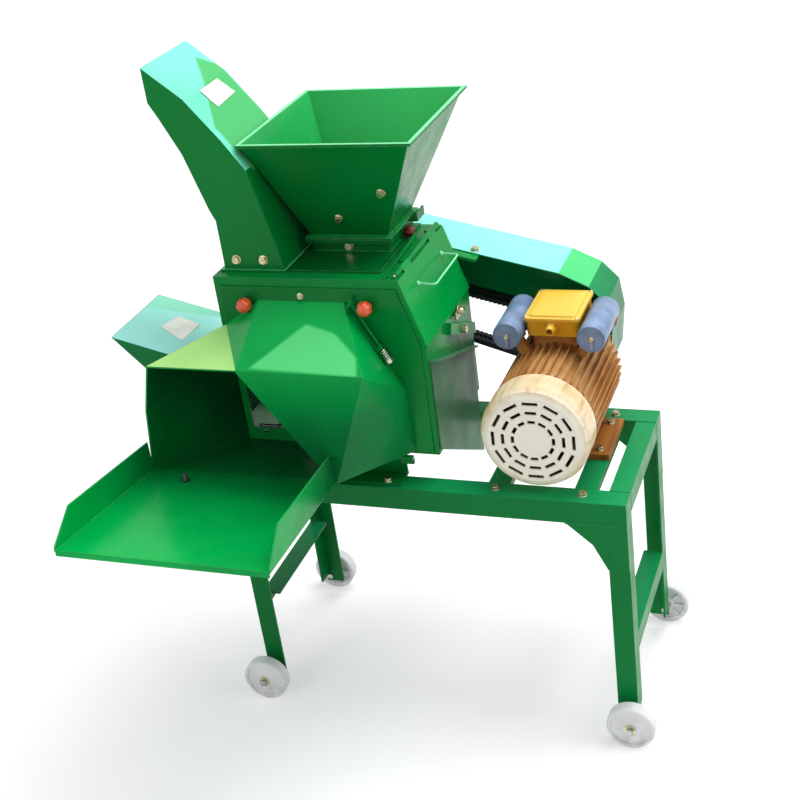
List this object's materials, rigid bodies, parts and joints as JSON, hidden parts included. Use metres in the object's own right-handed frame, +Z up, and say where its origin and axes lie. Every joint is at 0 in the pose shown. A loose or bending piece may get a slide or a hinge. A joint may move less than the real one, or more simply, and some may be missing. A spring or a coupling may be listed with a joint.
{
  "type": "feed cutter",
  "caption": "Small electric feed cutter on a wheeled angle-iron frame: hopper, hood with feed table, tall and side ejection chutes, belt guard and motor.",
  "frame": {"origin": "middle of the footprint of the whole part's box, on the ground under the wheels", "axes": "+X along the frame's long side from the chutes to the motor, +Y away from the feed table, +Z up"},
  "size_m": [1.057, 0.8474, 1.29],
  "materials": {
    "green_sheet": "gloss green enamel",
    "green_frame": "satin green enamel",
    "grey_green_sheet": "worn satin green enamel",
    "bare_steel": "machined steel",
    "dark_steel": "dark mill-finish steel",
    "zinc": "bright zinc plate",
    "knife_steel": "ground tool steel",
    "white_plastic": "moulded white plastic",
    "orange_plastic": "gloss orange-red",
    "red_plastic": "dark red",
    "yellow_enamel": "semi-gloss yellow",
    "cream_enamel": "satin cream",
    "ochre_iron": "ochre-painted cast housing",
    "winding": "varnished laminations and winding",
    "grey_blue_can": "smooth grey-blue can",
    "black_rubber": "matt black",
    "black_plastic": "moulded black",
    "pulley_iron": "dark grey casting"
  },
  "bodies": {
    "frame": {"front_rail": "green_frame", "back_rail": "green_frame", "end_rails": "green_frame", "legs": "green_frame", "lower_stretchers": "green_frame", "motor_bearers": "green_frame", "stub_axles": "bare_steel", "axle_fasteners": "zinc", "casing_front": "green_sheet", "casing_back": "green_sheet", "casing_left": "green_sheet", "casing_right": "green_sheet", "casing_top": "green_sheet", "screen": "dark_steel", "side_panel": "grey_green_sheet", "tall_chute": "green_sheet", "side_chute": "green_sheet", "hopper": "green_sheet", "hopper_neck": "green_sheet", "hinge_pins": "bare_steel", "bearing_housing": "green_frame", "shaft_bearings": "bare_steel", "v_belts": "black_rubber", "belt_guard": "green_sheet", "motor_frame": "ochre_iron", "stator": "winding", "end_bells": "ochre_iron", "fan_cover": "cream_enamel", "junction_box": "yellow_enamel", "junction_lid": "yellow_enamel", "capacitors": "grey_blue_can", "bolts": "zinc"},
    "wheel_front_left": {"front_left_wheel": "white_plastic"},
    "wheel_front_right": {"front_right_wheel": "white_plastic"},
    "wheel_back_left": {"back_left_wheel": "white_plastic"},
    "wheel_back_right": {"back_right_wheel": "white_plastic"},
    "rotor": {"main_shaft": "bare_steel", "rotor_discs": "dark_steel", "knives": "knife_steel", "hammer_pins": "bare_steel", "fan_paddles": "dark_steel", "driven_pulley": "pulley_iron"},
    "hammer_pack_a": {"hammers_a": "dark_steel"},
    "hammer_pack_b": {"hammers_b": "dark_steel"},
    "hammer_pack_c": {"hammers_c": "dark_steel"},
    "motor_rotor": {"motor_shaft": "bare_steel", "motor_pulley": "pulley_iron", "cooling_fan": "black_plastic"},
    "door": {"front_door": "green_sheet", "feed_hood": "green_sheet", "feed_table": "green_sheet", "fixed_blade": "knife_steel", "stay_rod": "zinc"},
    "knob_left": {"left_door_knob": "orange_plastic"},
    "knob_right": {"right_door_knob": "orange_plastic"},
    "gate": {"gate_plate": "green_sheet"},
    "gate_clamp": {"gate_knob": "red_plastic"},
    "cover": {"shoulder_cover": "green_sheet", "cover_handle": "green_sheet"},
    "latch": {"cover_latch": "zinc"}
  },
  "joints": [
    {"name": "front_left_wheel_spin", "type": "hinge", "parent": "frame", "child": "wheel_front_left", "pos_m": [-0.2735, -0.05325, 0.046], "axis": [0, 1, 0], "continuous": true},
    {"name": "front_right_wheel_spin", "type": "hinge", "parent": "frame", "child": "wheel_front_right", "pos_m": [0.4825, -0.05325, 0.046], "axis": [0, 1, 0], "continuous": true},
    {"name": "back_left_wheel_spin", "type": "hinge", "parent": "frame", "child": "wheel_back_left", "pos_m": [-0.2735, 0.33675, 0.046], "axis": [0, 1, 0], "continuous": true},
    {"name": "back_right_wheel_spin", "type": "hinge", "parent": "frame", "child": "wheel_back_right", "pos_m": [0.4825, 0.33675, 0.046], "axis": [0, 1, 0], "continuous": true},
    {"name": "rotor_spin", "type": "hinge", "parent": "frame", "child": "rotor", "pos_m": [-0.0605, 0.14175, 0.74], "axis": [0, 1, 0], "continuous": true},
    {"name": "hammer_swing_a", "type": "hinge", "parent": "rotor", "child": "hammer_pack_a", "pos_m": [-0.0145, 0.14175, 0.81967], "axis": [0, 1, 0], "continuous": true},
    {"name": "hammer_swing_b", "type": "hinge", "parent": "rotor", "child": "hammer_pack_b", "pos_m": [-0.1525, 0.14175, 0.74], "axis": [0, 1, 0], "continuous": true},
    {"name": "hammer_swing_c", "type": "hinge", "parent": "rotor", "child": "hammer_pack_c", "pos_m": [-0.0145, 0.14175, 0.66033], "axis": [0, 1, 0], "continuous": true},
    {"name": "motor_spin", "type": "hinge", "parent": "frame", "child": "motor_rotor", "pos_m": [0.3285, 0.14175, 0.626], "axis": [0, 1, 0], "continuous": true},
    {"name": "door_hinge", "type": "hinge", "parent": "frame", "child": "door", "pos_m": [-0.0605, 0.01475, 0.56], "axis": [1, 0, 0], "range_deg": [0, 45]},
    {"name": "knob_turn_left", "type": "hinge", "parent": "door", "child": "knob_left", "pos_m": [-0.1925, 0.02175, 0.865], "axis": [0, 1, 0], "range_deg": [0, 720]},
    {"name": "knob_turn_right", "type": "hinge", "parent": "door", "child": "knob_right", "pos_m": [0.0415, 0.02175, 0.865], "axis": [0, 1, 0], "range_deg": [0, 720]},
    {"name": "gate_slide", "type": "slide", "parent": "frame", "child": "gate", "axis": [1, 0, 0], "range_m": [0, 0.12]},
    {"name": "gate_clamp_turn", "type": "hinge", "parent": "frame", "child": "gate_clamp", "pos_m": [0.0615, 0.20975, 0.9275], "axis": [1, 0, 0], "range_deg": [0, 720]},
    {"name": "cover_hinge", "type": "hinge", "parent": "frame", "child": "cover", "pos_m": [0.0955, 0.14175, 0.917], "axis": [0, -1, 0], "range_deg": [0, 50]},
    {"name": "latch_turn", "type": "hinge", "parent": "frame", "child": "latch", "pos_m": [0.1425, 0.20675, 0.77], "axis": [-1, 0, 0], "range_deg": [0, 90]}
  ],
  "couplings": [
    {"joint": "motor_spin", "follows": "rotor_spin", "ratio": 0.7931}
  ]
}
